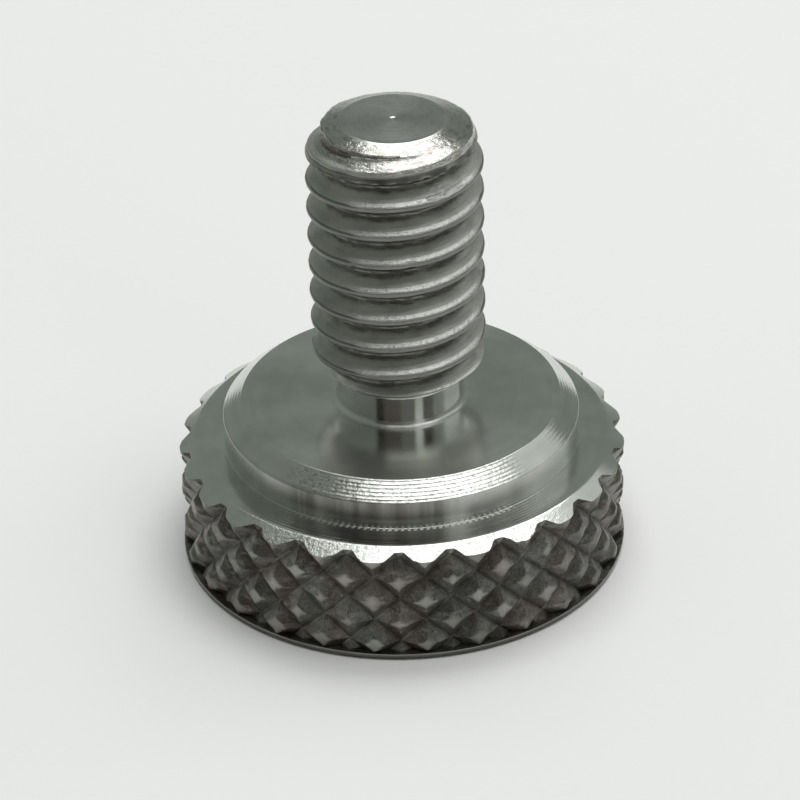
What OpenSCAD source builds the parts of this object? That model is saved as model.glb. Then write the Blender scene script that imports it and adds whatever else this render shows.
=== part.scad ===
// Knurled thumb screw, turned from one bar of stainless steel: a flat knurled head, a collar on
// it, an undercut neck and a coarse metric thread with a chamfered end. It stands on its head.
// Origin: the centre of the head's flat face. Z runs along the axis, from the head to the tip.

/* [Head] */
// Diameter over the lands of the knurl
head_d = 10.2; // [9:0.1:16]
// Height of the head, from its flat face to the face round the collar
head_h = 2.8; // [1.8:0.1:6]
// How far the head's upper chamfer reaches in from the lands
head_chamfer_w = 0.38; // [0.25:0.01:0.45]
// How far the head's upper chamfer reaches down
head_chamfer_h = 0.22; // [0.1:0.01:0.6]
// Height of the plain rim between the flat face and the knurl
rim_h = 0.16; // [0.1:0.01:0.4]
// Chamfer on the lower edge of the rim
rim_chamfer = 0.08; // [0.03:0.01:0.09]

/* [Knurl] */
// Diamonds in one row round the head
knurl_count = 27; // [24:1:32]
// Height of one diamond, from its lower corner to its upper one
knurl_pitch = 1.114; // [0.9:0.001:1.3]
// Depth of the grooves below the lands
knurl_depth = 0.24; // [0.1:0.01:0.3]
// Width of the flat land on each diamond, between its grooves
knurl_land = 0.27; // [0.15:0.01:0.35]
// Width of the floor of a groove
knurl_floor = 0.09; // [0.05:0.01:0.15]
// Height of the middle of the lowest row of diamonds, which the rim cuts off
knurl_first_z = -0.172; // [-0.3:0.001:0.1]
// Angle of the first diamond of that row, from the -Y side towards +X
knurl_start = -1.67; // [-7:0.01:7]

/* [Collar] */
// Diameter of the collar
collar_d = 8.1; // [6:0.1:8.4]
// Height of the collar above the head
collar_h = 1; // [0.6:0.1:4]
// How far the collar's chamfer reaches in
collar_chamfer_w = 0.43; // [0.1:0.01:0.8]
// How far the collar's chamfer reaches down
collar_chamfer_h = 0.34; // [0.1:0.01:0.5]

/* [Neck] */
// Diameter of the undercut neck
neck_d = 2.87; // [2.4:0.01:2.95]
// Height of the straight part of the neck
neck_h = 0.72; // [0.4:0.01:2]
// Radius of the fillet between neck and collar
neck_fillet = 0.12; // [0.05:0.01:0.2]
// Slope of the cone between neck and thread, from a flat face
neck_slope = 40; // [30:1:50]

/* [Thread] */
// Major diameter, over the crests
thread_d = 3.93; // [3.85:0.01:4.5]
// Pitch of the thread
thread_pitch = 0.7; // [0.5:0.05:0.7]
// Length of the stud, from the collar's face to the tip
stud_h = 7; // [4:0.1:16]
// Where the groove of the thread starts, round from +X
thread_start = 225; // [0:1:359]
// Diameter of the flat on the tip
tip_d = 2.34; // [1.8:0.01:2.8]
// Slope of the chamfer round that flat, from a flat face
tip_slope = 22; // [15:1:30]
// Diameter where that chamfer meets the lead of the thread
lead_d = 3.5; // [3.2:0.01:3.7]
// Slope of the lead from there out to the full crests, from a flat face
lead_slope = 68; // [60:1:75]

/* [Hidden] */
$fn = 96;
overlap = 0.01;
cutter_over = 0.05;

land_r = head_d / 2;
floor_r = land_r - knurl_depth;
collar_r = collar_d / 2;
neck_r = neck_d / 2;
crest_r = thread_d / 2;
tip_r = tip_d / 2;
lead_r = lead_d / 2;
seat_z = head_h + collar_h;
tip_z = seat_z + stud_h;
lead_z = tip_z - (lead_r - tip_r) * tan(tip_slope);

// Diamond lattice, measured on the floors of the grooves
knurl_turn = 360 / knurl_count;
row_h = knurl_pitch / 2;
half_w = floor_r * sin(knurl_turn / 2);
lattice_angle = atan(half_w / row_h);
half_gap = half_w * cos(lattice_angle);
rows = floor((head_h - knurl_first_z) / row_h) + 1;
// The floors are flat under a diamond, so its foot goes below the round core's surface
bury = 0.03;
sink = floor_r * (1 - cos(knurl_turn / 2)) + bury;

// ISO metric profile: a sharp V with an eighth of its height off the crest, a sixth off the root
flank_angle = 30;
crest_share = 1 / 8;
root_share = 1 / 6;
sharp_h = thread_pitch / 2 / tan(flank_angle);
thread_depth = sharp_h * (1 - crest_share - root_share);
root_r = crest_r - thread_depth;
mouth_half = thread_pitch * (1 - crest_share) / 2;
floor_half = mouth_half - thread_depth * tan(flank_angle);
outer_half = mouth_half + cutter_over * tan(flank_angle);
steps_per_turn = 20;
fillet_step = 15;

// The head before it is knurled
module head_blank() {
    rotate_extrude()
    polygon([
        [0, 0],
        [land_r - rim_chamfer, 0],
        [land_r, rim_chamfer],
        [land_r, head_h - head_chamfer_h],
        [land_r - head_chamfer_w, head_h],
        [0, head_h]
    ]);
}

// A bar with sloping sides, as high as a diamond, between two parallel grooves
module diamond_bar(lean) {
    land = knurl_land / 2;
    foot = half_gap - knurl_floor / 2;
    slope = (foot - land) / knurl_depth;
    inner = foot + sink * slope;
    outer = land - cutter_over * slope;
    rotate([0, lean, 0])
    translate([0, 0, -knurl_pitch])
    linear_extrude(2 * knurl_pitch)
    polygon([
        [-inner, -floor_r + sink],
        [inner, -floor_r + sink],
        [outer, -land_r - cutter_over],
        [-outer, -land_r - cutter_over]
    ]);
}

// One raised diamond, where bars from both families of grooves cross
module diamond() {
    intersection() {
        diamond_bar(lattice_angle);
        diamond_bar(-lattice_angle);
    }
}

// Every other row is half a diamond further round
module knurl() {
    for (row = [0 : rows - 1], i = [0 : knurl_count - 1])
        rotate([0, 0, knurl_start + (i + (row % 2) / 2) * knurl_turn])
        translate([0, 0, knurl_first_z + row * row_h])
        diamond();
}

module head() {
    intersection() {
        head_blank();
        union() {
            cylinder(r = floor_r, h = head_h);
            cylinder(r = land_r + overlap, h = rim_h);
            knurl();
        }
    }
}

// Collar, neck and stud before the thread is cut
module stud_blank() {
    foot_r = neck_r + neck_fillet;
    foot_z = seat_z + neck_fillet;
    rotate_extrude()
    polygon([
        [0, head_h - overlap],
        [collar_r, head_h - overlap],
        [collar_r, seat_z - collar_chamfer_h],
        [collar_r - collar_chamfer_w, seat_z],
        for (a = [270 : -fillet_step : 180])
            [foot_r + neck_fillet * cos(a), foot_z + neck_fillet * sin(a)],
        [neck_r, seat_z + neck_h],
        [crest_r, seat_z + neck_h + (crest_r - neck_r) * tan(neck_slope)],
        [crest_r, lead_z - (crest_r - lead_r) * tan(lead_slope)],
        [lead_r, lead_z],
        [tip_r, tip_z],
        [0, tip_z]
    ]);
}

// The groove of the thread: a V with a narrow flat floor, carried up a right-hand helix. It
// starts in the free space round the neck and runs out past the tip.
module thread_groove() {
    start_z = seat_z + neck_fillet + outer_half;
    steps = ceil((tip_z + thread_pitch - start_z) / thread_pitch * steps_per_turn);
    outer_r = crest_r + cutter_over;
    section = [
        [root_r, -floor_half],
        [outer_r, -outer_half],
        [outer_r, outer_half],
        [root_r, floor_half]
    ];
    sides = len(section);
    points = [
        for (i = [0 : steps], p = section)
            let (a = thread_start + 360 * i / steps_per_turn)
            [p[0] * cos(a), p[0] * sin(a), start_z + thread_pitch * i / steps_per_turn + p[1]]
    ];
    faces = [
        [for (k = [sides - 1 : -1 : 0]) k],
        [for (k = [0 : sides - 1]) sides * steps + k],
        for (i = [0 : steps - 1], k = [0 : sides - 1])
            let (a = sides * i + k, b = sides * i + (k + 1) % sides)
            for (f = [[a, b + sides, a + sides], [a, b, b + sides]])
                f
    ];
    polyhedron(points, faces);
}

module thumb_screw() {
    color("#8b8f88")
    union() {
        head();
        difference() {
            stud_blank();
            thread_groove();
        }
    }
}

thumb_screw();
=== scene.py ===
# %% [markdown]
# # A knurled thumb screw
# The real screw is turned from one bar of stainless steel, so it is one closed skin here too.
# Going up from the face it stands on, that skin has a plain rim, a diamond knurl, a chamfer, a
# flat shoulder, a stepped collar, an undercut neck, a helical thread and a chamfered tip. A lathe
# only makes shapes of revolution, so most of the skin is one profile carried round the axis. The
# knurl and the thread are the two places where the radius also depends on the angle.

import math

import bmesh
import bpy
import numpy as np
from mathutils import Matrix, Vector


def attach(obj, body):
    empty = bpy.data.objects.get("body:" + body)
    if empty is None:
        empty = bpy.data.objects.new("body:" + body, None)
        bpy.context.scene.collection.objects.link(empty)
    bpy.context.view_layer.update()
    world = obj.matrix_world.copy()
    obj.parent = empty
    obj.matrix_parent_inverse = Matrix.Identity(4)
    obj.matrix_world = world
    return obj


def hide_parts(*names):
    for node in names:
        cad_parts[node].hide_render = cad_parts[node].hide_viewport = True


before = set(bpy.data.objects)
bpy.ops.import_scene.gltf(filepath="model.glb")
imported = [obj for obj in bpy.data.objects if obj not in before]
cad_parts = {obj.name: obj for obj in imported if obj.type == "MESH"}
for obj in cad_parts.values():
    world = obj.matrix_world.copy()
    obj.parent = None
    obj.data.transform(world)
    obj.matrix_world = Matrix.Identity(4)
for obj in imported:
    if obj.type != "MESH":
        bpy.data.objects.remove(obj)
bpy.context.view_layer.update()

# %% [markdown]
# ## Sizes
# All sizes are in millimetres, as on a drawing, and become metres when the mesh is made. They
# are the solid part's own sizes, so that the skin lies on it.

# %% Sizes of the head and its knurl
MM = 0.001
LAND_R = 5.1
HEAD_H = 2.8
HEAD_CHAMFER_W = 0.38
HEAD_CHAMFER_H = 0.22
RIM_H = 0.16
RIM_CHAMFER = 0.08

DIAMONDS = 27
DIAMOND_H = 1.114
KNURL_DEPTH = 0.24
KNURL_LAND = 0.27
KNURL_FIRST_Z = -0.172
KNURL_START = math.radians(-91.67)
print("head:", 2 * LAND_R, "mm across,", HEAD_H, "mm high,", DIAMONDS, "diamonds in a row")

# %% Sizes of the collar, the neck and the thread
COLLAR_R = 4.05
SEAT_Z = 3.8
COLLAR_CHAMFER_W = 0.43
COLLAR_CHAMFER_H = 0.34
NECK_R = 1.435
NECK_TOP_Z = 4.52
NECK_FILLET = 0.12
NECK_SLOPE = math.tan(math.radians(40))

CREST_R = 1.965
PITCH = 0.7
THREAD_DEPTH = 0.4294
ROOT_R = CREST_R - THREAD_DEPTH
GROOVE_Z = 4.2551
GROOVE_ANGLE = math.radians(225)
TIP_R = 1.17
TIP_Z = 10.8
TIP_SLOPE = math.tan(math.radians(22))
LEAD_R = 1.75
LEAD_Z = TIP_Z - (LEAD_R - TIP_R) * TIP_SLOPE
LEAD_SLOPE = math.tan(math.radians(68))
print("stud:", 2 * CREST_R, "mm across, pitch", PITCH, "mm, from", SEAT_Z, "to", TIP_Z, "mm")

# %% How fine the grids are
COLUMNS = 216
FINE = 3 * COLUMNS
print("grid columns round the screw:", COLUMNS, "and on the knurl", FINE)

# %% [markdown]
# ## How a skin is put together
# The skin is a stack of grids. Each grid has rows that go round the axis, and the rows go up the
# profile, so each small face of four corners turns outwards by itself. The grids are kept as
# whole arrays. Where one grid ends and the next begins, both have the same points, and these are
# merged at the end.

# %% Points round the axis
def around(columns, closed=True):
    """Angles round the axis, evenly spaced. An open grid repeats the first angle at its end."""
    return np.arange(columns + (0 if closed else 1)) * (2 * math.pi / columns)


def placed(radius, angle, height):
    """Points from cylinder coordinates: x = r cos a, y = r sin a, and z stays."""
    radius, angle, height = np.broadcast_arrays(radius, angle, height)
    return np.stack([radius * np.cos(angle), radius * np.sin(angle), height], axis=-1)


def lathe(profile, columns):
    """Every profile point (r, z) becomes a row of points at distance r from the axis."""
    profile = np.asarray(profile, dtype=float)
    return placed(profile[:, :1], around(columns)[None, :], profile[:, 1:])


print("two profile points make a grid of shape", lathe([(1, 0), (1, 2)], COLUMNS).shape)

# %% The faces of a grid
def grid_faces(rows, columns, closed=True):
    """Corner numbers of each face of a grid, lower pair first, then the upper pair."""
    across = columns if closed else columns - 1
    j, i = np.meshgrid(np.arange(rows - 1), np.arange(across), indexing="ij")
    right = (i + 1) % columns
    low = j * columns
    high = low + columns
    return np.stack([low + i, low + right, high + right, high + i], axis=-1).reshape(-1, 4)


def as_triangles(quads, rising):
    """Split faces of four corners along the rising diagonal where asked, else the falling one."""
    a, b, c, d = quads.T
    rise = np.stack([a, b, c, a, c, d], axis=-1)
    fall = np.stack([a, b, d, b, c, d], axis=-1)
    return np.where(rising[:, None], rise, fall).reshape(-1, 3)


print("faces between two rows:", len(grid_faces(2, COLUMNS)))

# %% [markdown]
# ## From wide columns to narrow ones
# The knurl needs three times as many columns as the plain turned faces. Its columns could go all
# the way up the screw, but that would spend most of the triangles where nothing happens. A flat
# face hides a change of grid, so a ring of triangles on it joins three narrow columns to each
# wide one.

# %% Rings of triangles between the two kinds of row
def ring_corners(columns):
    """Numbers of each wide column, of the next one, and of the four narrow corners between."""
    wide = np.arange(columns)
    after = (wide + 1) % columns
    return wide, after, (3 * wide, 3 * wide + 1, 3 * wide + 2, 3 * after)


def one_to_three(columns):
    """Triangles between a row of wide columns and a row three times as fine above it."""
    wide, after, narrow = ring_corners(columns)
    n0, n1, n2, n3 = (columns + n for n in narrow)
    parts = [[wide, n1, n0], [wide, after, n1], [after, n2, n1], [after, n3, n2]]
    return np.concatenate([np.stack(p, axis=-1) for p in parts])


def three_to_one(columns):
    """Triangles between a fine row and the row of wide columns above it."""
    wide, after, (n0, n1, n2, n3) = ring_corners(columns)
    wide, after = wide + 3 * columns, after + 3 * columns
    parts = [[n0, n1, wide], [n1, after, wide], [n1, n2, after], [n2, n3, after]]
    return np.concatenate([np.stack(p, axis=-1) for p in parts])


print("triangles in such a ring:", len(one_to_three(COLUMNS)))

# %% [markdown]
# ## Corners
# No real corner is perfectly sharp: the tool's nose and a light polish leave a small radius, and
# that radius is what catches a thin line of light. A Bevel modifier could round them, but here
# it is enough to round the profile before it is carried round. Each corner is cut short on both
# sides and joined by an arc. One more point close to each end of the arc keeps the shading of
# the flat faces flat.

# %% A profile with small rounded corners
def softened(corners, arc_steps=3, hold=0.02):
    """Round each inner corner (r, z, radius) of a profile.

    The arc touches both sides at radius divided by tan(half the inner angle) from the corner,
    and its points are found from the arc's centre. A holding point follows on each side.
    """
    points = np.array([c[:2] for c in corners], dtype=float)
    share = np.linspace(0, 1, arc_steps + 1)[:, None]
    out = [points[:1]]
    for before, corner, after, spec in zip(points[:-2], points[1:-1], points[2:], corners[1:-1]):
        radius = spec[2]
        back = (before - corner) / np.linalg.norm(before - corner)
        ahead = (after - corner) / np.linalg.norm(after - corner)
        inner = math.acos(float(np.clip(back @ ahead, -1, 1)))
        reach = radius / math.tan(inner / 2)
        inwards = (back + ahead) / np.linalg.norm(back + ahead)
        centre = corner + inwards * radius / math.sin(inner / 2)
        chord = (corner + back * reach) * (1 - share) + (corner + ahead * reach) * share
        spoke = chord - centre
        arc = centre + spoke / np.linalg.norm(spoke, axis=1, keepdims=True) * radius
        first = corner + back[None] * (reach + hold)
        last = corner + ahead[None] * (reach + hold)
        out += [first, arc, last]
    out.append(points[-1:])
    return np.concatenate(out)


def filled(profile, longest):
    """Put extra points into the profile's long straight stretches."""
    lengths = np.linalg.norm(np.diff(profile, axis=0), axis=1)
    counts = [max(1, math.ceil(length / longest)) for length in lengths]
    pieces = [
        a + (b - a) * np.linspace(0, 1, count, endpoint=False)[:, None]
        for a, b, count in zip(profile[:-1], profile[1:], counts)
    ]
    return np.concatenate(pieces + [profile[-1:]])


print("points on one rounded corner:", len(softened([(0, 0, 0), (1, 0, 0.1), (1, 1, 0)])) - 2)

# %% [markdown]
# ## Unevenness
# No two diamonds of a pressed knurl come out alike, and the cut thread has small tears. Both
# need random values that are the same on every run, so the values come from a numbered seed. The
# smooth unevenness is a lattice of random values with smooth steps between them, because values
# that jump from point to point would only look like sand.

# %% Repeatable noise in space
NOISE_VALUES = 4096
NOISE_PRIMES = (73856093, 19349663, 83492791)


def lattice_noise(points, cell, seed):
    """Smooth random values from -1 to 1: a random value at each corner of a cubic lattice,
    blended with the smooth step 3t^2 - 2t^3 along each side."""
    table = np.random.default_rng(seed).uniform(-1, 1, NOISE_VALUES)
    scaled = np.asarray(points) / cell
    base = np.floor(scaled).astype(np.int64)
    t = scaled - base
    t = t * t * (3 - 2 * t)

    def corner(*moved):
        x, y, z = ((base[..., k] + moved[k]) * NOISE_PRIMES[k] for k in range(3))
        return table[(x ^ y ^ z) & (NOISE_VALUES - 1)]

    def along_x(dy, dz):
        return corner(0, dy, dz) * (1 - t[..., 0]) + corner(1, dy, dz) * t[..., 0]

    low = along_x(0, 0) * (1 - t[..., 1]) + along_x(1, 0) * t[..., 1]
    high = along_x(0, 1) * (1 - t[..., 1]) + along_x(1, 1) * t[..., 1]
    return low * (1 - t[..., 2]) + high * t[..., 2]


def uneven(points, amount, cell, seed):
    """That noise times an amount."""
    return amount * lattice_noise(points, cell, seed)


print("noise at two places:", lattice_noise([(0.2, 0.1, 0.3), (0.9, 0.4, 0.3)], 0.5, 1))

# %% [markdown]
# ## The knurl
# Two wheels roll grooves along two families of helices, one leaning left and one leaning right.
# What is left between them is a raised diamond with a flat land on top. Unrolled, one family is
# where angle plus height is constant and the other where angle minus height is constant, each
# counted in whole diamonds. The depth at a point is the deeper of the two grooves. A Boolean of
# hundreds of bars would give the same form but ragged triangles, so the radius is worked out on
# an even grid whose diagonals run exactly along the grooves.

# %% One diamond in grid steps
DIAMOND_TURN = 2 * math.pi / DIAMONDS
PER_DIAMOND = FINE // DIAMONDS
STEPS = PER_DIAMOND // 2
half_w = (LAND_R - KNURL_DEPTH) * math.sin(DIAMOND_TURN / 2)
half_gap = half_w * math.cos(math.atan(half_w / (DIAMOND_H / 2)))
land_step = round(KNURL_LAND / 2 / half_gap * STEPS)
print("grid steps from a diamond's middle to its land's edge and its foot:", land_step, STEPS)

# %% How far single diamonds differ
# About one land in five is a grid step narrower, and one in five is a step wider
LAND_CHANGES = (-1, 0, 0, 0, 1)
SPREAD_ROWS = 64
ROW_SHIFT = 8
TALLEST_LOSS = 0.015
chance = np.random.default_rng(27)
land_spread = chance.choice(LAND_CHANGES, (2 * DIAMONDS, SPREAD_ROWS))
height_spread = chance.uniform(0.0, TALLEST_LOSS, (2 * DIAMONDS, SPREAD_ROWS))
print("share of diamonds with a wider land:", (land_spread > 0).mean().round(2))

# %% The knurl as a radius that depends on angle and height
LAND_DROP = 0.005
LAND_DOME = 0.014
LAND_CRUSH_SHARE = 0.25
# Amount, size in millimetres and seed of each unevenness
EDGE_WANDER = (0.13, 0.13, 5)
FINE_CRUSH = (0.003, 0.10, 3)
BROAD_CRUSH = (0.010, 0.3, 4)
LAST_ROW = math.floor((HEAD_H - KNURL_FIRST_Z) / (DIAMOND_H / 2))


def knurl_radius(angle, height):
    """Land radius less the deeper of two grooves. Each groove's depth rises in a straight line
    from the edge of the land to the middle of the groove. The land is a low dome, its edge
    wanders, and the whole is a little crushed."""
    turn = (angle - KNURL_START) / DIAMOND_TURN
    climb = (height - KNURL_FIRST_Z) / DIAMOND_H
    p, q = turn + climb, turn - climb
    p_whole, q_whole = np.round(p), np.round(q)
    column = (p_whole + q_whole).astype(int) % (2 * DIAMONDS)
    which = (column, (p_whole - q_whole).astype(int) + ROW_SHIFT)
    land = (land_step + land_spread[which]) / STEPS
    place = placed(LAND_R, angle, height)
    reach = np.maximum(np.abs(p - p_whole), np.abs(q - q_whole)) * 2
    reach = reach + uneven(place, *EDGE_WANDER) * (1 - reach)
    fall = np.clip((reach - land) / (1 - land), 0, 1)
    fall = np.where(p_whole - q_whole > LAST_ROW, 1.0, fall)
    crush = uneven(place, *FINE_CRUSH) + uneven(place, *BROAD_CRUSH)
    crush = crush * np.where(fall > 0, 1.0, LAND_CRUSH_SHARE)
    loss = height_spread[which] + LAND_DROP + LAND_DOME * np.minimum(reach / land, 1) ** 2
    return np.minimum(LAND_R - loss * (1 - fall) - KNURL_DEPTH * fall + crush, LAND_R)


sample = knurl_radius(KNURL_START + around(FINE), np.full(FINE, HEAD_H / 2))
print("knurl radius half way up, from", sample.min().round(3), "to", sample.max().round(3))

# %% [markdown]
# ## Where the knurl meets the chamfer
# The head's upper chamfer shears the diamonds off, which gives the head its zigzag edge. If the
# edge fell between two rows of the grid it would look chewed. So each column of the grid gets
# the height at which its own knurl runs into the cone, found by halving an interval.

# %% The zigzag edge of the head
HALVINGS = 40
SEARCH_BELOW = 0.1


def chamfer_radius(height):
    """The head's upper chamfer: a cone that leans in from the lands to the flat shoulder."""
    return LAND_R - HEAD_CHAMFER_W * (height - (HEAD_H - HEAD_CHAMFER_H)) / HEAD_CHAMFER_H


def crease_height(angle):
    """Height at which the knurl runs into the chamfer, by halving the interval many times."""
    low = np.full_like(angle, HEAD_H - HEAD_CHAMFER_H - SEARCH_BELOW)
    high = np.full_like(angle, HEAD_H)
    for _ in range(HALVINGS):
        middle = (low + high) / 2
        inside = knurl_radius(angle, middle) < chamfer_radius(middle)
        low, high = np.where(inside, middle, low), np.where(inside, high, middle)
    return low


fine_angle = KNURL_START + around(FINE)[None, :]
crease = crease_height(fine_angle)
print("zigzag edge from", crease.min().round(3), "to", crease.max().round(3), "mm")

# %% Rows of the knurl
cell_h = DIAMOND_H / PER_DIAMOND
first_row = math.floor((RIM_H - KNURL_FIRST_Z) / cell_h)
last_row = math.ceil((HEAD_H - KNURL_FIRST_Z) / cell_h)
row_numbers = np.arange(first_row, last_row + 1)
knurl_z = np.clip(KNURL_FIRST_Z + row_numbers[:, None] * cell_h, RIM_H, crease)
knurl_points = placed(knurl_radius(fine_angle, knurl_z), fine_angle, knurl_z)
print("knurl rows:", len(row_numbers))

# %% Diagonals of the knurl's faces, along the grooves
j, i = np.meshgrid(row_numbers[:-1] + 0.5, np.arange(FINE) + 0.5, indexing="ij")
p, q = (i + j) / PER_DIAMOND, (i - j) / PER_DIAMOND
leans_left = np.abs(p - np.round(p)) > np.abs(q - np.round(q))
knurl_faces = as_triangles(grid_faces(*knurl_z.shape), ~leans_left.ravel())
print("triangles on the knurl:", len(knurl_faces))

# %% [markdown]
# ## The thread
# A thread is a V groove that climbs one pitch for each turn. Its flanks lean 30 degrees from a
# flat face. The tool's nose leaves a small arc at the root, and deburring leaves one at the
# crest. The radius is worked out from how far a point is above the middle of the nearest groove.

# %% The section of the thread
FLANK = math.radians(30)
ARC = 0.10


def half_section(steps):
    """From the groove's middle to the crest's middle: offset along the axis, and radius. Two arcs
    with a straight flank between them."""
    bend = np.linspace(0, math.pi / 2 - FLANK, steps)
    out, rise = ARC * np.sin(bend), ARC * (1 - np.cos(bend))
    offset = np.concatenate([out, PITCH / 2 - out[::-1]])
    radius = np.concatenate([ROOT_R + rise, CREST_R - rise[::-1]])
    return offset, radius


section_offset, section_radius = half_section(12)
print("groove radius from", section_radius[0], "to", section_radius[-1])

# %% [markdown]
# ## The bar that the thread is cut into
# Below, the bar widens from the neck in a cone. At the tip it has a shallow chamfer, and below
# that a steep lead, on which the first crests are still low. Where two of these faces meet, the
# smaller radius is the one that is left, because the lathe only takes metal away.

# %% The radius of that bar
def blank_radius(height):
    """The smallest of the neck's cone, the crest's cylinder, the lead and the tip's chamfer."""
    rising = NECK_R + np.maximum(height - NECK_TOP_Z, 0) / NECK_SLOPE
    lead = LEAD_R + (LEAD_Z - height) / LEAD_SLOPE
    chamfer = TIP_R + (TIP_Z - height) / TIP_SLOPE
    return np.minimum(np.minimum(rising, CREST_R), np.minimum(lead, chamfer))


print("bar radius at the neck, half way and at the tip:", blank_radius(np.array([4.6, 7.0, 10.7])))

# %% [markdown]
# ## Where the thread runs out
# The last turn of the groove breaks through the chamfer and leaves a lip that gets thinner and
# thinner. Metal that thin doesn't survive, so the lip is broken off where it would be thinner
# than a limit that wanders round the screw, from a few hundredths of a millimetre to a tenth.

# %% The broken lip
LIP_MIN = 0.07
LIP_WANDER = (0.04, 0.35, 15)


def lip_radius(groove_z, thinnest):
    """Radius at which the lip above a groove is as thick as asked: the chamfer's height less the
    groove's upper flank's height is the thickness, and both are straight lines."""
    flank_start = groove_z + ARC * math.tan(FLANK)
    top = TIP_Z + TIP_R * TIP_SLOPE - flank_start + ROOT_R * math.tan(FLANK) - thinnest
    return np.maximum(top / (TIP_SLOPE + math.tan(FLANK)), ROOT_R)


print("lip of 0.1 mm over a groove at 10.3 mm ends at radius", lip_radius(10.3, 0.1).round(3))

# %% [markdown]
# ## Nicks, a burr and torn ends
# The first turns of a thread are the roughest. A few crests have nicks from being dropped into a
# tray with other screws, and one has a burr of metal pushed out beside a nick. Each is a bell
# curve that is taken off the radius, and the burr has a depth below 0. Sculpting them by hand
# would do as well, but numbers can be moved later.

# %% Dents and tears in the thread's radius
THREAD_LOW = 4.60
THREAD_HIGH = 9.95
TOP_ROW_Z = TIP_Z - 0.02
FADE_LOW = 0.3
FADE_TOP = 0.03
TEAR_STRETCH = (1, 1, 3)
# Amount, size in millimetres and seed of each unevenness
FINE_WAVES = (0.004, 0.16, 11)
DIPS = (0.006, 0.5, 12)
FINE_TEARS = (0.007, 0.11, 13)
LONG_TEARS = (0.010, 0.35, 14)
# Height of the middle of each torn end, and how far it reaches
TORN_ENDS = ((5.0, 0.35), (10.5, 0.40))
# Angle in degrees, height, size and depth of each
NICKS = (
    (-81.0, 8.20, 0.09, 0.08), (-119.5, 8.10, 0.07, 0.06), (-69.0, 10.20, 0.06, 0.07),
    (-47.0, 10.25, 0.13, 0.07), (-36.0, 10.05, 0.12, 0.05), (-5.0, 7.1, 0.10, 0.04),
    (80.0, 9.3, 0.12, 0.05), (150.0, 6.9, 0.10, 0.05), (200.0, 8.3, 0.10, 0.04),
    (-55.0, 9.78, 0.09, -0.05), (-63.0, 9.73, 0.07, -0.04),
)


def nick_depth(angle, height):
    """Sum of the nicks, each a bell curve of the distance from its place on the crest."""
    depth = 0
    for degrees, nick_z, size, deep in NICKS:
        turn = (angle - math.radians(degrees) + math.pi) % (2 * math.pi) - math.pi
        depth = depth + deep * np.exp(-((turn * CREST_R) ** 2 + (height - nick_z) ** 2) / size ** 2)
    return depth


def thread_unevenness(angle, height):
    """Waves, torn spots that are stronger near both ends of the thread, and the nicks."""
    place = placed(CREST_R, angle, height)
    ends = sum(np.exp(-((height - middle) / reach) ** 2) for middle, reach in TORN_ENDS)
    waves = uneven(place, *FINE_WAVES) - np.abs(uneven(place, *DIPS))
    torn = uneven(place, *FINE_TEARS) + uneven(place * TEAR_STRETCH, *LONG_TEARS)
    fade = np.clip((height - THREAD_LOW) / FADE_LOW, 0, 1)
    fade = fade * np.clip((TOP_ROW_Z - height) / FADE_TOP, 0, 1)
    return (waves + torn * ends - nick_depth(angle, height)) * fade


print("nicks and burrs:", len(NICKS))

# %% [markdown]
# ## The thread's radius anywhere
# Each point takes the smallest of the groove's section, the bar and the broken lip. The function
# also says where the tip's chamfer is, because that face is turned and not threaded, and gets
# another finish.

# %% Groove, bar and lip together
CHAMFER_DOWN = 0.42
CHAMFER_IN = 0.22
TOUCH = 1e-6


def thread_radius(angle, height):
    """The smallest of three radii plus the unevenness, and whether the point is on the chamfer."""
    climb = GROOVE_Z + PITCH * (angle - GROOVE_ANGLE) / (2 * math.pi)
    above = (height - climb + PITCH / 2) % PITCH - PITCH / 2
    section = np.interp(np.abs(above), section_offset, section_radius)
    blank = blank_radius(height)
    thinnest = LIP_MIN + uneven(placed(CREST_R, angle, 0 * height), *LIP_WANDER)
    lip = lip_radius(height - above, thinnest)
    radius = np.minimum(np.minimum(section, blank), np.where(above > 0, lip, CREST_R))
    below_groove = (height > TIP_Z - CHAMFER_DOWN) & (radius > blank - CHAMFER_IN) & (above < 0)
    on_chamfer = below_groove | ((height > LEAD_Z) & (radius > blank - TOUCH))
    return radius + thread_unevenness(angle, height), on_chamfer


half_way = thread_radius(around(COLUMNS), np.full(COLUMNS, (SEAT_Z + TIP_Z) / 2))[0]
print("thread radius half way up, from", half_way.min().round(3), "to", half_way.max().round(3))

# %% [markdown]
# ## Two grids for the thread
# If the rows of a grid climb with the groove, every row keeps its own place on the V, so crest
# and root stay crisp with few points. The grid is then left open: after one turn its edge meets
# its own start, one pitch higher. Rows that climb past the ends are pressed flat onto them and
# merged. Near the tip the chamfer matters as much as the groove, so level rows take over there.

# %% The thread as a climbing grid
row_offset, _ = half_section(4)
row_offset = np.concatenate([row_offset, PITCH - row_offset[-2:0:-1]])
turns = np.arange(-1, math.ceil((THREAD_HIGH - GROOVE_Z) / PITCH) + 1)
offset = (turns[:, None] * PITCH + row_offset[None, :]).reshape(-1, 1)
open_angle = around(COLUMNS, closed=False)[None, :]
climb_z = GROOVE_Z + PITCH * (open_angle - GROOVE_ANGLE) / (2 * math.pi) + offset
thread_z = np.clip(climb_z, THREAD_LOW, THREAD_HIGH)
thread_points = placed(thread_radius(open_angle, thread_z)[0], open_angle, thread_z)
thread_faces = grid_faces(*thread_z.shape, closed=False)
print("climbing rows:", len(climb_z))

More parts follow.
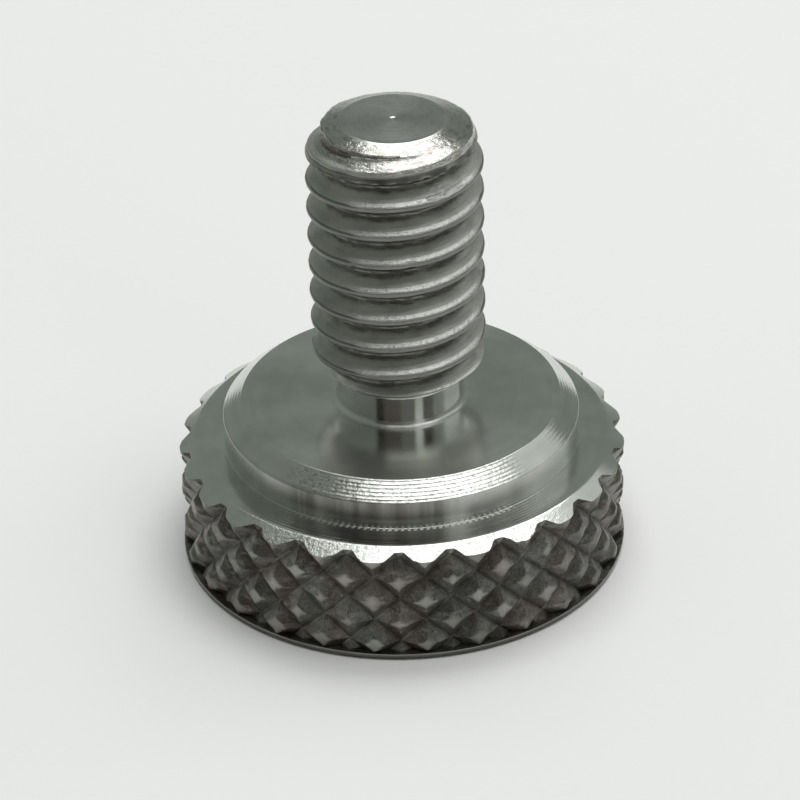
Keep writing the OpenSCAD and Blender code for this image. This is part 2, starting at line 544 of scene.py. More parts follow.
# %% Level rows round the tip
TIP_ROWS = 46
level_angle = around(COLUMNS)[None, :]
level_z = np.linspace(THREAD_HIGH, TOP_ROW_Z, TIP_ROWS)[:, None] + 0 * level_angle
level_r, on_chamfer = thread_radius(level_angle, level_z)
level_points = placed(level_r, level_angle, level_z)
level_faces = grid_faces(*level_r.shape)
chamfer_face = on_chamfer.ravel()[level_faces].all(axis=1)
print("level rows:", TIP_ROWS, "chamfer faces:", chamfer_face.sum())

# %% [markdown]
# ## The turned faces
# What is left is plain lathe work: the flat face that the screw stands on, the rim, the chamfer
# and shoulder of the head, the collar with its own chamfer, the seat, the neck and the tip. The
# tip keeps the shallow dimple that a facing tool leaves at the axis.

# %% Profiles of the face it stands on and of the rim
EDGE = 0.025
BASE_END_R = 4.55
RIM_START_R = 4.7
base = filled(np.array([[0, 0], [BASE_END_R, 0]]), longest=1.2)
rim = softened([
    (RIM_START_R, 0, 0),
    (LAND_R - RIM_CHAMFER, 0, EDGE),
    (LAND_R, RIM_CHAMFER, EDGE),
    (LAND_R, RIM_H, 0),
], arc_steps=2)
print("points on the rim's profile:", len(rim))

# %% Profile from the shoulder up to the thread
INNER_CORNER = 0.012
NECK_TOP_EDGE = 0.04
SHOULDER_ROWS_R = (LAND_R - HEAD_CHAMFER_W - 0.02, 4.68, 4.5)
UPPER_START_R = 4.35
shoulder_profile = [(radius, HEAD_H) for radius in SHOULDER_ROWS_R]
upper = filled(softened([
    (UPPER_START_R, HEAD_H, 0),
    (COLLAR_R, HEAD_H, INNER_CORNER),
    (COLLAR_R, SEAT_Z - COLLAR_CHAMFER_H, EDGE),
    (COLLAR_R - COLLAR_CHAMFER_W, SEAT_Z, EDGE),
    (NECK_R, SEAT_Z, NECK_FILLET),
    (NECK_R, NECK_TOP_Z, NECK_TOP_EDGE),
    (float(blank_radius(THREAD_LOW)), THREAD_LOW, 0),
], arc_steps=4), longest=0.5)
print("points on the profile from shoulder to thread:", len(upper))

# %% Profile of the tip
TIP_EDGE = 0.03
DIMPLE_R = 0.10
DIMPLE_DEPTH = 0.016
tip = filled(softened([
    (float(blank_radius(TOP_ROW_Z)), TOP_ROW_Z, 0),
    (TIP_R, TIP_Z, TIP_EDGE),
    (DIMPLE_R, TIP_Z, 0.02),
    (DIMPLE_R / 2, TIP_Z - DIMPLE_DEPTH, 0.01),
    (0, TIP_Z - DIMPLE_DEPTH * 0.75, 0),
]), longest=0.4)
print("points on the tip's profile:", len(tip))

# %% The chamfer that cuts the knurl off
CHAMFER_TOP_Z = HEAD_H - 0.012
share = np.array([0, 0.08, 0.35, 0.7, 0.9, 1])[:, None]
chamfer_z = crease * (1 - share) + CHAMFER_TOP_Z * share
chamfer_r = np.where(share > 0, chamfer_radius(chamfer_z), knurl_radius(fine_angle, chamfer_z))
chamfer_points = placed(chamfer_r, fine_angle, chamfer_z)
print("chamfer's outer edge from", chamfer_r[0].min().round(3), "to", chamfer_r[0].max().round(3))

# %% [markdown]
# ## One closed skin
# Separate objects would leave hidden walls inside the screw. One mesh has none, and it can be
# tested: every edge must belong to exactly two faces, and the volume must be the solid's. The
# grids are listed from the bottom up, each with the number of its finish. Turned grids below the
# thread start at the knurl's first angle, so that their columns meet the knurl's.

# %% A list of grids that grows
TURNED, KNURLED, THREADED, FACED = 0, 1, 2, 3


def turned_to(grid, start):
    """Turn a grid about the axis by an angle, which its first column then stands at."""
    c, s = math.cos(start), math.sin(start)
    x, y = grid[..., 0] * c - grid[..., 1] * s, grid[..., 0] * s + grid[..., 1] * c
    return np.stack([x, y, grid[..., 2]], axis=-1)


class Skin:
    """A growing list of points and faces, as arrays."""

    def __init__(self):
        self.points = []
        self.faces = []
        self.finish = []
        self.count = 0

    def add(self, points, faces, finish):
        """Append points, and their faces with the corner numbers moved on. A triangle gets -1 as
        its fourth corner."""
        points = points.reshape(-1, 3)
        faces = faces + self.count
        if faces.shape[1] == 3:
            faces = np.concatenate([faces, np.full((len(faces), 1), -1)], axis=1)
        self.points.append(points)
        self.faces.append(faces)
        self.finish.append(np.full(len(faces), finish))
        self.count += len(points)

    def add_grid(self, grid, finish):
        """Append a closed grid with all its faces."""
        self.add(grid, grid_faces(*grid.shape[:2]), finish)


print("finishes are numbered", TURNED, KNURLED, THREADED, FACED)

# %% The grids, from the bottom up
base_grid = turned_to(lathe(base, COLUMNS), KNURL_START)
rim_grid = turned_to(lathe(rim, FINE), KNURL_START)
shoulder_grid = turned_to(lathe(shoulder_profile, FINE), KNURL_START)
upper_grid = turned_to(lathe(upper, COLUMNS), KNURL_START)

skin = Skin()
skin.add_grid(base_grid, TURNED)
skin.add(np.concatenate([base_grid[-1], rim_grid[0]]), one_to_three(COLUMNS), TURNED)
skin.add_grid(rim_grid, TURNED)
skin.add_grid(np.concatenate([rim_grid[-1:], knurl_points[:1]]), KNURLED)
skin.add(knurl_points, knurl_faces, KNURLED)
skin.add_grid(np.concatenate([chamfer_points, shoulder_grid]), TURNED)
skin.add(np.concatenate([shoulder_grid[-1], upper_grid[0]]), three_to_one(COLUMNS), TURNED)
skin.add_grid(upper_grid, TURNED)
skin.add(thread_points, thread_faces, THREADED)
skin.add(level_points, level_faces[~chamfer_face], THREADED)
skin.add(level_points, level_faces[chamfer_face], TURNED)
skin.add_grid(lathe(tip, COLUMNS), FACED)
print("points before merging:", skin.count)

# %% The mesh
MERGE_M = 3e-7
FLAT_M = 1e-8


def mesh_from(skin, name):
    """Make the mesh in metres, merge the points that grids share, and drop what that flattens."""
    points = np.concatenate(skin.points) * MM
    faces = np.concatenate(skin.faces).tolist()
    mesh = bpy.data.meshes.new(name)
    mesh.from_pydata(points, [], [face[:3] if face[3] < 0 else face for face in faces])
    finish = np.concatenate(skin.finish).astype(np.int32)
    mesh.polygons.foreach_set("material_index", finish)
    work = bmesh.new()
    work.from_mesh(mesh)
    bmesh.ops.remove_doubles(work, verts=work.verts, dist=MERGE_M)
    bmesh.ops.dissolve_degenerate(work, edges=work.edges, dist=FLAT_M)
    work.to_mesh(mesh)
    work.free()
    mesh.update()
    return mesh


mesh = mesh_from(skin, "thumb_screw_skin")
print("points after merging:", len(mesh.vertices))

# %% The screw as an object in the frame
screw = bpy.data.objects.new("thumb_screw_skin", mesh)
bpy.context.collection.objects.link(screw)
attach(screw, "root")
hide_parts("thumb_screw")
print("piece:", screw.name)

# %% Is the skin closed, and how big is it?
check = bmesh.new()
check.from_mesh(mesh)
open_edges = sum(1 for edge in check.edges if not edge.is_manifold)
volume = check.calc_volume(signed=True) / MM ** 3
triangles = sum(len(face.verts) - 2 for face in check.faces)
check.free()
print("triangles:", triangles, "edges not closed:", open_edges, "volume in mm3:", round(volume, 2))

# %% [markdown]
# ## Smooth and sharp
# Smooth shading hides the grid, and edges that turn by more than a set angle stay sharp. The
# angle is chosen so that the crushed diamonds keep their edges while the rounded corners flow.

# %% Shading
SHARP = math.radians(42)
mesh.shade_smooth()
mesh.set_sharp_from_angle(angle=SHARP)
print("edges that turn more than", round(math.degrees(SHARP)), "degrees stay sharp")

# %% [markdown]
# ## Shader maths
# A small class wraps a socket, so that the patterns below read as sums and products. Each
# operator adds one Math node. Numbers on their own are worked out in Python.

# %% Sockets as numbers
class Value:
    """A socket that can be added to, multiplied and so on."""

    def __init__(self, nodes, socket):
        self.nodes = nodes
        self.socket = socket

    def math(self, operation, *others):
        """Apply a Math node to this value and up to two others."""
        return self.nodes.node("Math", {"operation": operation}, dict(enumerate((self, *others))))

    def __add__(self, other):
        return self.math("ADD", other)

    __radd__ = __add__

    def __sub__(self, other):
        return self.math("SUBTRACT", other)

    def __rsub__(self, other):
        return self.nodes.node("Math", {"operation": "SUBTRACT"}, {0: other, 1: self})

    def __mul__(self, other):
        return self.math("MULTIPLY", other)

    __rmul__ = __mul__

    def __truediv__(self, other):
        return self.math("DIVIDE", other)

    def __pow__(self, other):
        return self.math("POWER", other)

    def ramp(self, low, high):
        """0 below low, 1 above high, and a smooth step between."""
        return self.nodes.node("MapRange", {"interpolation_type": "SMOOTHSTEP"}, {
            "Value": self, "From Min": low, "From Max": high
        })


class Nodes:
    """An empty node tree, with one method that adds any node."""

    def __init__(self, tree):
        self.tree = tree
        tree.nodes.clear()

    def node(self, kind, settings=None, inputs=None, output=0):
        """Add a node: its settings first, then each input from a value or another node."""
        node = self.tree.nodes.new("ShaderNode" + kind)
        for key, value in (settings or {}).items():
            setattr(node, key, value)
        for key, value in (inputs or {}).items():
            if isinstance(value, Value):
                self.tree.links.new(value.socket, node.inputs[key])
            else:
                node.inputs[key].default_value = value
        return Value(self, node.outputs[output]) if node.outputs else None

    def mixed(self, share, low, high):
        """Mix two colours."""
        return self.node("Mix", {"data_type": "RGBA"}, {0: share, 6: low, 7: high}, output=2)

    def layered(self, colour, *layers):
        """Lay colours over the first one, each by its share."""
        for share, layer in layers:
            colour = self.mixed(share, colour, layer)
        return colour

    def parts(self, vector):
        """The three numbers in a vector."""
        split = self.node("SeparateXYZ", {}, {0: vector}).socket.node
        return [Value(self, socket) for socket in split.outputs]


class Finish(Nodes):
    """The node tree of a new material."""

    def __init__(self, name):
        self.material = bpy.data.materials.new(name)
        self.material.use_nodes = True
        super().__init__(self.material.node_tree)

    def relief(self, distance, height):
        """A Bump node: the height pattern times this distance in millimetres."""
        return self.node("Bump", {}, {"Strength": 1.0, "Distance": distance * MM, "Height": height})

    def metal(self, **inputs):
        """End the tree in a metal: inputs are the Principled shader's sockets by name."""
        named = {key.replace("_", " "): value for key, value in inputs.items()}
        surface = self.node("BsdfPrincipled", {}, {"Metallic": 1.0, **named})
        self.node("OutputMaterial", {}, {"Surface": surface})


print("operators on sockets: + - * / ** and ramp")

# %% [markdown]
# ## Where a point lies on the screw
# Height less distance from the axis is a count that grows along the whole profile, on flats,
# cones and walls alike. Rings that are drawn with it run round every turned face, so one pattern
# serves them all, and a band of it picks out one face. The angle is counted in turns from +X, so
# the near side, at -Y, is at -0.25.

# %% Coordinates along and round the profile
class ProfilePlace:
    """A point's place as Object coordinates, and from them in millimetres its height, distance
    from the axis and height less distance. The angle is in turns."""

    def __init__(self, finish):
        self.place = finish.node("TexCoord", {}, {}, output="Object")
        x, y, z = (part * (1 / MM) for part in finish.parts(self.place))
        self.height = z
        self.distance = (x * x + y * y) ** 0.5
        self.along = z - self.distance
        self.turn = y.math("ARCTAN2", x) / (2 * math.pi)


def band(value, low, high, soft):
    """1 between low and high, and 0 outside, with soft edges of the given width."""
    return value.ramp(low - soft, low) * (1 - value.ramp(high, high + soft))


print("the near side's angle in turns:", math.atan2(-1, 0) / (2 * math.pi))

# %% Patterns in space and round the axis
FLATTEN = 5.0


def clouds(finish, place, size, detail=3.0, rough=0.5):
    """Soft noise from 0 to 1 with features of the given size in millimetres."""
    return finish.node("TexNoise", {}, {
        "Vector": place, "Scale": 1 / (size * MM), "Detail": detail, "Roughness": rough
    })


def flattened(finish, place):
    """Place with its height stretched, so that noise read there is low and drawn out sideways."""
    return finish.node("VectorMath", {"operation": "MULTIPLY"}, {0: place, 1: (1, 1, FLATTEN)})


def streaks(finish, number, size, detail=2.0):
    """Noise that depends on one number only, so that it draws rings or upright lines."""
    return finish.node("TexNoise", {"noise_dimensions": "1D"}, {
        "W": number * (1 / size), "Scale": 1.0, "Detail": detail
    })


def ripple(number, period):
    """The sine of a number, from -1 to 1, once in every period."""
    return (number * (2 * math.pi / period)).math("SINE")


print("a flattened pattern is", FLATTEN, "times as wide as it is high")

# %% Colours of clean, worn and dirty steel, and of painted shade and painted highlight
STEEL_DARK = (0.550, 0.567, 0.538, 1)
STEEL_PALE = (0.725, 0.742, 0.708, 1)
# Pale metal: fresh metal of the beads and the burr, and a painted highlight on the crests
FRESH_AND_HIGHLIGHT = (0.700, 0.705, 0.680, 1)
TORN = (0.360, 0.325, 0.300, 1)
# Dark brown: real stains, and painted shade on the tip's chamfer
STAIN_AND_SHADE = (0.110, 0.094, 0.080, 1)
GRIME = (0.120, 0.112, 0.100, 1)
# Nearly black, painted on the rim's side as painted shade along the bottom edge
RIM_SHADE = (0.060, 0.055, 0.050, 1)
print("pale turned steel:", STEEL_PALE[:3])

# %% [markdown]
# ## Turned steel: one mask for each face
# The lathe has left a different finish on each face, but all of them are one material, because
# they run into each other. A band of the number that grows along the profile is 1 on one face
# and 0 elsewhere. Vertex groups could do the same, but a band needs no mesh points at its edges.
# A second set of bands, of the angle, marks where the tool chattered more.

# %% Masks along the profile
MASK_SOFT = 0.02
WALL_FOOT = HEAD_H - COLLAR_R
WALL_HEAD = SEAT_Z - COLLAR_CHAMFER_H - COLLAR_R
SEAT_START = SEAT_Z - COLLAR_R + COLLAR_CHAMFER_W
SHOULDER_START = HEAD_H - LAND_R + HEAD_CHAMFER_W
NECK_FOOT = SEAT_Z - NECK_R
RIM_END = (-4.98, -4.92)

turned = Finish("turned_steel")
at = ProfilePlace(turned)
head_cone = band(at.along, HEAD_H - HEAD_CHAMFER_H - LAND_R, SHOULDER_START, MASK_SOFT)
shoulder = band(at.along, SHOULDER_START, WALL_FOOT, MASK_SOFT)
wall = band(at.along, WALL_FOOT + 0.03, WALL_HEAD - 0.01, MASK_SOFT)
wall_top = band(at.along, WALL_FOOT + 0.30, WALL_HEAD - 0.01, 0.15)
collar_cone = band(at.along, WALL_HEAD, SEAT_START, MASK_SOFT)
seat = band(at.along, SEAT_START, NECK_FOOT - NECK_FILLET, 0.05)
fillet = band(at.along, NECK_FOOT - NECK_FILLET, NECK_FOOT + NECK_FILLET, MASK_SOFT)
tip_cone = band(at.along, LEAD_Z - LEAD_R - 0.3, TIP_Z - TIP_R, MASK_SOFT)
# The rim's side, which gets painted shade along the bottom edge
shaded_rim = 1 - at.along.ramp(*RIM_END)
print("collar's wall, height less distance:", round(WALL_FOOT, 2), "to", round(WALL_HEAD, 2))

# %% Masks round the axis
NEAR_CONES = (-0.37, -0.15, 0.05)
NEAR_TIP = (-0.37, -0.11, 0.05)
NEAR_FACES = (-0.34, -0.15, 0.04)
CHATTERED = (-0.33, -0.17, 0.04)
SPARKLING = (-0.33, -0.17, 0.05)
CLEAN_WALL = (-0.19, -0.04, 0.04)
near_cones = band(at.turn, *NEAR_CONES)
near_tip = band(at.turn, *NEAR_TIP)
near_faces = band(at.turn, *NEAR_FACES)
print("the tool marks are deepest from", NEAR_CONES[0], "to", NEAR_CONES[1], "of a turn")

# %% [markdown]
# ## Turned steel: the relief
# A lathe tool leaves one fine groove for each turn, about an eighth of a millimetre apart, and
# these grooves are what makes turned steel look turned: the light is drawn out across them and
# stays crisp along them. Cut into the mesh they would take millions of faces, so they are a bump
# of a hundredth of a millimetre at most. The cones were cut with a coarser, torn finish than the
# flats. Where the tool first met the collar's wall it shook, and left a row of small beads. How
# much each pattern counts, on this face or that, is given below.

# %% Tool marks as a height pattern
TOOL_FEED = 0.125
FINE_FEED = 0.085
BEADS_ROUND = 186
TURNED_RELIEF = 0.0016

rings = streaks(turned, at.along, 0.05, detail=3.0)
speckle = clouds(turned, at.place, 0.08, detail=4.0, rough=0.65)
flakes = clouds(turned, flattened(turned, at.place), 0.22, detail=4.0, rough=0.6)
feed = ripple(at.along, TOOL_FEED) * 0.5 + 0.5
broken_feed = ripple(at.along, FINE_FEED) * streaks(turned, at.turn * (2 * math.pi * LAND_R), 0.9)
bead = ripple(at.turn, 1 / BEADS_ROUND) * 0.5 + 0.5
bead_row = band(at.along, WALL_FOOT - 0.08, WALL_FOOT - 0.01, 0.01)
beads = bead * bead_row * band(at.turn, *CHATTERED)

collar_marks = (feed * 1.8 + rings * 2.0 + speckle * 4.5) * (near_cones * 0.8 + 0.2)
head_marks = speckle * (near_cones * 5.0 + 1.0)
tip_marks = flakes * (near_tip * 11 + 3)
shoulder_marks = (broken_feed * 2.0 + rings * 1.6) * (near_faces * 0.92 + 0.08)
marks = collar_marks * collar_cone + head_marks * head_cone + tip_marks * tip_cone
marks = marks + shoulder_marks * shoulder + beads * 4 + rings * 0.25
print("tool feed:", TOOL_FEED, "mm, relief:", TURNED_RELIEF, "mm,", BEADS_ROUND, "beads a turn")

# %% [markdown]
# ## Turned steel: tone, stains, painted shade and polish
# The tone varies slowly over the skin and a little from ring to ring. Dirt stays in the torn
# spots of the cones, and the collar's wall has upright stains. The rim's side is painted nearly
# black, which is painted shade along the bottom edge. The tip's chamfer is painted darker away
# from the near side, which is painted shade too. The polish is highest on the flats. A highlight
# stays narrow along the tool marks and is drawn out across them, which the shader calls
# anisotropic.

# %% Tone, stains and painted shade
STAIN_W = 0.3
RIM_SIDE = (0.004, 0.5, 0.004)
cloud = clouds(turned, at.place, 1.2)
tone = (cloud * 0.80 + streaks(turned, at.along, 0.35, detail=1.0) * 0.20).ramp(0.25, 0.75)
torn = tip_cone * near_tip * flakes.ramp(0.46, 0.58)
pits = (collar_cone + head_cone) * band(at.turn, *SPARKLING) * (1 - speckle.ramp(0.34, 0.52))
upright = streaks(turned, at.turn * (2 * math.pi * COLLAR_R), STAIN_W, detail=3.0)
wall_stain = wall * (0.28 + upright.ramp(0.3, 0.7) * 0.24) + wall_top * 0.34
wall_stain = wall_stain * (near_faces * 0.75 + 0.25)
wall_stain = wall_stain * (1 - band(at.turn, *CLEAN_WALL) * 0.7)

turned_colour = turned.layered(
    turned.mixed(tone, STEEL_DARK, STEEL_PALE),
    (tip_cone * (1 - flakes.ramp(0.34, 0.48)) * 0.45, STAIN_AND_SHADE),
    (torn * 0.85, TORN),
    (pits * 0.50, STAIN_AND_SHADE),
    # Painted shade: the rim's side is painted nearly black, for the dark line along the bottom edge
    (shaded_rim * band(at.height, *RIM_SIDE) * 0.85, RIM_SHADE),
    # Painted shade: the tip's chamfer is darker on every side but the near one
    (tip_cone * (1 - near_tip) * 0.22, STAIN_AND_SHADE),
    (wall_stain, STAIN_AND_SHADE),
    (beads, FRESH_AND_HIGHLIGHT),
)
print("upright stains on the wall are about", STAIN_W, "mm wide")

# %% Polish, and the finished material
ACROSS_MARKS = 0.25
shine = 0.07 + rings * 0.04 + speckle * 0.05 * (1 - wall) + tip_cone * 0.16 + seat * 0.08
shine = shine + head_cone * 0.08 + wall * 0.16 + beads * 0.3 + fillet * 0.18
turned.metal(
    Base_Color=turned_colour,
    Anisotropic=0.75,
    Anisotropic_Rotation=ACROSS_MARKS,
    Roughness=shine,
    Normal=turned.relief(TURNED_RELIEF, marks),
)
print("turned steel has", len(turned.tree.nodes), "nodes")

# %% [markdown]
# ## The faced tip
# The flat end was faced with one light cut, so its rings are shallow and it is duller and darker
# than the rest. It gets a material of its own, because here the rings count the distance from
# the axis alone, and towards its edge the flakes of the chamfer run in.

# %% Faced steel
FACED_DARK = (0.415, 0.429, 0.410, 1)
FACED_PALE = (0.540, 0.556, 0.530, 1)
EDGE_WEAR_R = (TIP_R - 0.10, TIP_R + 0.02)

faced = Finish("faced_steel")
at = ProfilePlace(faced)
end_rings = streaks(faced, at.along, 0.06, detail=3.0)
end_cloud = clouds(faced, at.place, 0.5)
end_flakes = clouds(faced, at.place, 0.25, detail=4.0, rough=0.6)
end_marks = end_rings * 0.4 + end_flakes * at.distance.ramp(*EDGE_WEAR_R) * 4
end_tone = (end_cloud * 0.85 + end_rings * 0.15).ramp(0.25, 0.75)
faced.metal(
    Base_Color=faced.mixed(end_tone, FACED_DARK, FACED_PALE),
    Anisotropic=0.4,
    Anisotropic_Rotation=ACROSS_MARKS,
    Roughness=0.23 + end_rings * 0.04 + end_cloud * 0.05,
    Normal=faced.relief(TURNED_RELIEF, end_marks),
)
print("faced steel has", len(faced.tree.nodes), "nodes")

# %% [markdown]
# ## The knurled band
# The knurl was pressed, not cut, so its faces are crumpled, and oil and dust have stuck in them:
# brown in some patches and grey in others. The lands are rubbed cleaner by fingers. How deep a
# point lies under the lands is known from its distance from the axis, so land and groove need no
# picture. Along one family of grooves the wheel has left a thin burnished line. The deepest parts
# of the grooves are painted darker, which is painted shade. Away from the near side the knurl is
# painted darker and its lands less pale, which is painted shade too.

# %% Crumple, dirt, painted shade and lands of the knurl
BROWN_DARK = (0.104, 0.090, 0.080, 1)
BROWN_PALE = (0.270, 0.245, 0.221, 1)
GREY_DARK = (0.097, 0.097, 0.089, 1)
GREY_PALE = (0.257, 0.261, 0.237, 1)
RUBBED = (0.40, 0.41, 0.38, 1)
# Painted shade for the deepest parts of the grooves
GROOVE_SHADE = (0.075, 0.064, 0.055, 1)
NEAR_KNURL = (-0.35, -0.15, 0.05)

knurled = Finish("knurled_steel")
at = ProfilePlace(knurled)
oil = clouds(knurled, at.place, 0.45)
grit = clouds(knurled, at.place, 0.045, detail=4.0, rough=0.6)
crumple = clouds(knurled, at.place, 0.17, detail=2.5)
depth = (LAND_R - at.distance) / KNURL_DEPTH
sides = 1 - band(at.turn, *NEAR_KNURL)
dust = (oil * 0.55 + grit * 0.75).ramp(0.42, 0.85)
brown = knurled.mixed(dust, BROWN_DARK, BROWN_PALE)
grey = knurled.mixed(dust, GREY_DARK, GREY_PALE)
# Lands are rubbed paler, but only half as pale on the sides, which is painted shade
land = (1 - (depth + grit * 0.14).ramp(0.08, 0.2)) * (1 - sides * 0.5)
patches = knurled.mixed(clouds(knurled, at.place, 0.9).ramp(0.42, 0.58), brown, grey)
print("depth of the grooves under the lands:", KNURL_DEPTH, "mm")

# %% The burnished line, the shaded sides and the finished material
BURNISHED = (0.30, 0.30, 0.28, 1)
# Painted shade for the knurl's sides away from the near side
SIDE_SHADE = (0.075, 0.075, 0.068, 1)
KNURL_RELIEF = 0.010

falling = at.turn * DIAMONDS - (at.height - KNURL_FIRST_Z) / DIAMOND_H
falling = falling - KNURL_START / DIAMOND_TURN
off_groove = (falling.math("FRACT") - 0.5).math("ABSOLUTE")
burnished = (1 - off_groove.ramp(0.02, 0.05)) * oil.ramp(0.40, 0.55) * depth.ramp(0.6, 0.9)
knurled.metal(
    Base_Color=knurled.layered(
        patches,
        (land * 0.55, RUBBED),
        # Painted shade in the deepest parts of the grooves
        (depth.ramp(0.72, 1.0) * 0.45, GROOVE_SHADE),
        (burnished * 0.8, BURNISHED),
        # Painted shade on the sides of the knurl away from the near side
        (sides * crumple.ramp(0.30, 0.65) * 0.45, SIDE_SHADE),
    ),
    Roughness=0.27 + grit * 0.2 - land * 0.06,
    Normal=knurled.relief(KNURL_RELIEF, grit * 0.8 + crumple * (sides + 1.9)),
)
print("knurled steel has", len(knurled.tree.nodes), "nodes")

# %% [markdown]
# ## The thread's steel
# A cut thread is duller than a turned face. Its phase, a number that goes from 0 to 1 between
# one groove and the next, tells root, flank and crest apart: 0 is the middle of the groove and
# 0.5 the middle of the crest. The roots hold torn metal and dirt. On the near side, towards the
# right, the upper edge of each crest is painted bright, which is a painted highlight. The seam
# under it is painted dark, which is painted shade and is stronger on the other sides. The burr is
# fresh metal.

# %% Phase, grain and tears
GROOVE_TURN = GROOVE_ANGLE / (2 * math.pi)
THREAD_DARK = (0.300, 0.308, 0.287, 1)
THREAD_PALE = (0.470, 0.482, 0.451, 1)

threaded = Finish("threaded_steel")
at = ProfilePlace(threaded)
flat_place = flattened(threaded, at.place)
phase = ((at.height - GROOVE_Z) / PITCH - at.turn + GROOVE_TURN).math("FRACT")
grain = clouds(threaded, at.place, 0.06, detail=5.0, rough=0.65)
tears = clouds(threaded, flat_place, 0.55, detail=4.0, rough=0.6)
ragged = clouds(threaded, flat_place, 0.24, detail=4.0, rough=0.7)
root = (phase - 0.5).math("ABSOLUTE").ramp(0.28, 0.44)
torn_root = root * ragged.ramp(0.50, 0.58)
thread_tone = (clouds(threaded, at.place, 0.6) * 0.7 + grain * 0.4).ramp(0.20, 0.80)
thread_dirt = (tears * 0.9 + root * 0.40 - 0.20).ramp(0.30, 0.66)
print("the groove starts at", round(GROOVE_TURN, 3), "of a turn")

# %% Crests: the blunt edge, the painted highlight, the painted shade of the seam and the burr
HIGHLIGHT_SIDE = (-0.31, -0.08, 0.04)
BLUNT = (0.55, 0.74, 0.04)
HIGHLIGHT_PHASE = (0.56, 0.66, 0.02)
SHADED_SEAM = (0.30, 0.545, 0.02)
SEAM_SHIFT = 0.05
BURR_TURN = (-0.186, -0.117, 0.012)
BURR_Z = (9.62, 9.95, 0.04)
BURR_PHASE = (0.50, 0.67, 0.02)

blunt = band(phase, *BLUNT)
highlight_side = band(at.turn, *HIGHLIGHT_SIDE)
# Painted highlight on the upper edge of each crest, on the near side towards the right
crest_highlight = band(phase, *HIGHLIGHT_PHASE) * (1 - grain.ramp(0.50, 0.65)) * highlight_side
burr = band(at.turn, *BURR_TURN) * band(at.height, *BURR_Z) * band(phase, *BURR_PHASE)
burr = burr * ragged.ramp(0.36, 0.48)
seam_phase = phase + (tears - 0.5) * SEAM_SHIFT - (1 - highlight_side) * SEAM_SHIFT
# Painted shade along the crest's lower corner, stronger away from the highlight side
shaded_seam = band(seam_phase, *SHADED_SEAM)
print("the crest is blunt from phase", BLUNT[0], "to", BLUNT[1])

# %% Broken edges, and the finished material
THREAD_RELIEF = 0.012
# Dark grey for the painted shade in the seam under each crest
SEAM_SHADE = (0.140, 0.145, 0.132, 1)
BROKEN_Z = (TIP_Z - 0.75, TIP_Z, 0.02)
BROKEN_R = (ROOT_R - 0.02, ROOT_R + 0.05, 0.02)

broken = band(at.height, *BROKEN_Z) * band(at.distance, *BROKEN_R)
thread_marks = grain * (burr * 2 + blunt * 0.6 + 0.6) + tears * 0.8 - torn_root * 0.6
threaded.metal(
    Base_Color=threaded.layered(
        threaded.mixed(thread_tone, THREAD_DARK, THREAD_PALE),
        (thread_dirt * 0.7, GRIME),
        # Painted highlight on the crests' upper edges
        (crest_highlight * 0.7, FRESH_AND_HIGHLIGHT),
        (burr * 0.9, FRESH_AND_HIGHLIGHT),
        # Painted shade in the seam under each crest
        (shaded_seam * (0.92 - highlight_side * 0.15), SEAM_SHADE),
        (torn_root * 0.6, STAIN_AND_SHADE),
        (broken * 0.6, STAIN_AND_SHADE),
    ),
    Roughness=0.24 + grain * 0.15 - crest_highlight * 0.10 + burr * 0.15 + blunt * 0.16,
    Normal=threaded.relief(THREAD_RELIEF, thread_marks),
)
print("threaded steel has", len(threaded.tree.nodes), "nodes")

# %% The four finishes, in the order of their numbers
for finish in (turned, knurled, threaded, faced):
    mesh.materials.append(finish.material)
print("finishes:", [material.name for material in mesh.materials])

# %% [markdown]
# ## The floor
# The screw stands on plain pale paper. It is far larger than the screw, so that no edge shows,
# and perfectly matt. Its paleness comes from its colour, so the lamps can stay at a plain level.

# %% A sheet of pale paper
FLOOR_R_M = 3.0
PAPER = (0.965, 0.965, 0.96, 1)
bpy.ops.mesh.primitive_circle_add(vertices=96, radius=FLOOR_R_M, fill_type="NGON")
floor = bpy.context.object
floor.name = "floor"
paper = Finish("pale_paper")
sheet = paper.node("BsdfDiffuse", {}, {"Color": PAPER})
paper.node("OutputMaterial", {}, {"Surface": sheet})
floor.data.materials.append(paper.material)
print("floor radius:", FLOOR_R_M, "m")

# %% [markdown]
# ## The lamps
# Bare steel shows what it mirrors. Two soft panels hang level above the screw, one a little in
# front and one behind it, both shifted to the right. The front one is mirrored in the near side
# of the chamfers and of the thread, and the rear one lights the far side and the paper. A weaker
# lamp at the right fills the shadows. One large lamp would be simpler, but it would wash the
# steel out.

# %% Soft lamps
def direction(azimuth, elevation):
    """Unit vector. Azimuth is counted from the -Y side towards +X, in degrees."""
    a, e = math.radians(azimuth), math.radians(elevation)
    return np.array([math.sin(a) * math.cos(e), -math.cos(a) * math.cos(e), math.sin(e)])


def soft_panel(name, spot, width, depth, radiance):
    """A level rectangle that lights downwards. Its power is radiance times pi times its area."""
    light = bpy.data.lights.new(name, "AREA")
    light.shape = "RECTANGLE"
    light.size = width
    light.size_y = depth
    light.energy = radiance * math.pi * width * depth
    lamp = bpy.data.objects.new(name, light)
    bpy.context.collection.objects.link(lamp)
    lamp.location = spot
    return lamp


key = soft_panel("key", (0.105, -0.085, 0.43), width=0.44, depth=0.22, radiance=2.3)
side_spot = Vector(direction(azimuth=111, elevation=44) * 0.50)
side = soft_panel("side", side_spot, width=0.38, depth=0.30, radiance=0.42)
side.rotation_euler = (-side_spot).to_track_quat("-Z", "Y").to_euler()
back = soft_panel("back", (0.055, 0.18, 0.41), width=0.36, depth=0.22, radiance=3.4)
print("lamp powers in watts:", [round(lamp.data.energy, 2) for lamp in (key, side, back)])

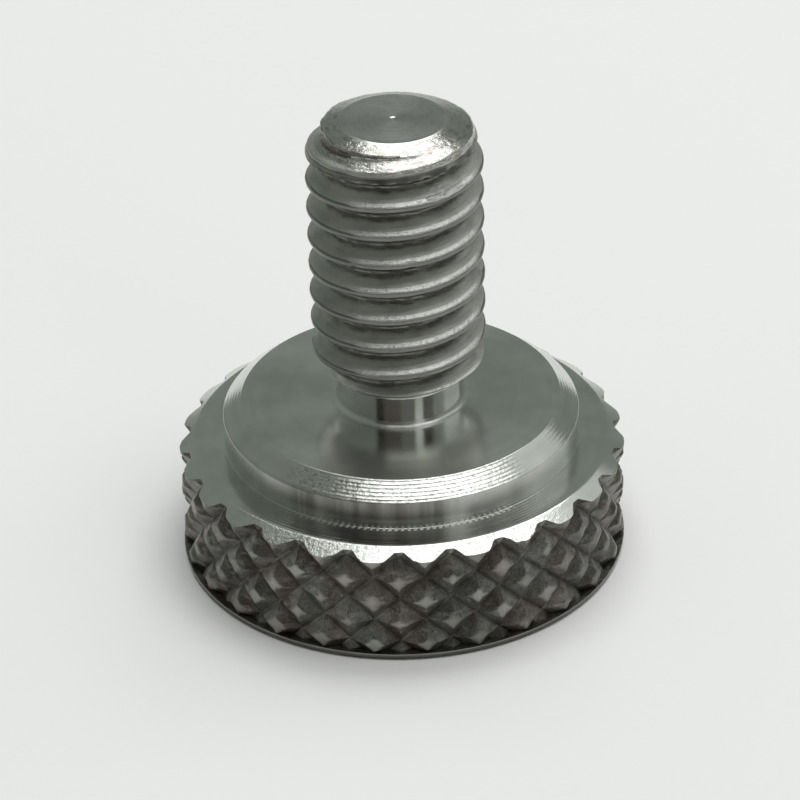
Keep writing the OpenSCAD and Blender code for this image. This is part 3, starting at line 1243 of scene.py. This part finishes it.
# %% [markdown]
# ## The room
# Between the lamps the steel mirrors a dim room. Upright strips in front of the screw stand for
# the person at the camera, a pale window edge and dark furniture, and they give the neck and the
# collar's wall their light and dark lines. The world is such a room when its colour depends only
# on the direction that a ray leaves in.

# %% Walls and upright strips
ROOM_FRONT = (0.205, 0.218, 0.198, 1)
ROOM_BACK = (0.222, 0.248, 0.222, 1)
STRIPS_END = (0.62, 0.80)
# Azimuth in degrees where a strip starts and ends, the width of its soft edges, and its colour
STRIPS = (
    ((-44, 2, 3), (0.085, 0.066, 0.058, 1)),
    ((-44, -32, 2), (0.015, 0.015, 0.018, 1)),
    ((2, 25, 3), (0.15, 0.152, 0.142, 1)),
    ((27, 39, 2), (0.66, 0.67, 0.64, 1)),
    ((42, 60, 2), (0.03, 0.025, 0.022, 1)),
)

world = bpy.data.worlds.new("room")
bpy.context.scene.world = world
world.use_nodes = True
room = Nodes(world.node_tree)
ray_x, ray_y, ray_z = room.parts(room.node("TexCoord", {}, {}, output="Generated"))
azimuth = ray_x.math("ARCTAN2", ray_y * -1) * (180 / math.pi)
low_down = 1 - ray_z.ramp(*STRIPS_END)
room_colour = room.layered(
    room.mixed(ray_y.ramp(-0.6, 0.6), ROOM_FRONT, ROOM_BACK),
    *((band(azimuth, *edges) * low_down, colour) for edges, colour in STRIPS),
)
sky = room.node("Background", {}, {"Color": room_colour, "Strength": 1.0})
room.node("OutputWorld", {}, {"Surface": sky})
print("strips in the room:", len(STRIPS))

# %% [markdown]
# ## The camera
# A screw this small is looked at from close by, with a long lens. A camera can be placed by hand,
# but numbers are exact: how far away it is, how high it stands, how much it rolls, and at which
# pixel a point on the axis is seen. The shift moves that point to its pixel without turning the
# camera.

# %% Place, roll and shift
LENS_PIXELS = 3600.0
FRAME_PIXELS = 800.0
SENSOR_MM = 36.0
CLIP_START_M = 0.001
CAMERA_FAR = 81.82
CAMERA_ELEVATION = 31.59
CAMERA_ROLL = math.radians(1.598)
AIM_Z = 3.8
AIM_PIXEL = (400.46, 392.97)

away = Vector(direction(0, CAMERA_ELEVATION))
level = Vector((1, 0, 0))
upright_way = away.cross(level)
c, s = math.cos(CAMERA_ROLL), math.sin(CAMERA_ROLL)
right, up = level * c - upright_way * s, level * s + upright_way * c
spot = (away * CAMERA_FAR + Vector((0, 0, AIM_Z))) * MM
camera_data = bpy.data.cameras.new("camera")
camera = bpy.data.objects.new("camera", camera_data)
bpy.context.collection.objects.link(camera)
camera.matrix_world = Matrix.Translation(spot) @ Matrix((right, up, away)).transposed().to_4x4()
camera_data.sensor_width = SENSOR_MM
camera_data.lens = LENS_PIXELS / FRAME_PIXELS * SENSOR_MM
camera_data.shift_x = (FRAME_PIXELS / 2 - AIM_PIXEL[0]) / FRAME_PIXELS
camera_data.shift_y = (AIM_PIXEL[1] - FRAME_PIXELS / 2) / FRAME_PIXELS
camera_data.clip_start = CLIP_START_M
bpy.context.scene.camera = camera
bpy.context.scene.view_settings.view_transform = "Standard"
print("camera at", [round(part, 4) for part in spot], "lens", round(camera_data.lens), "mm")
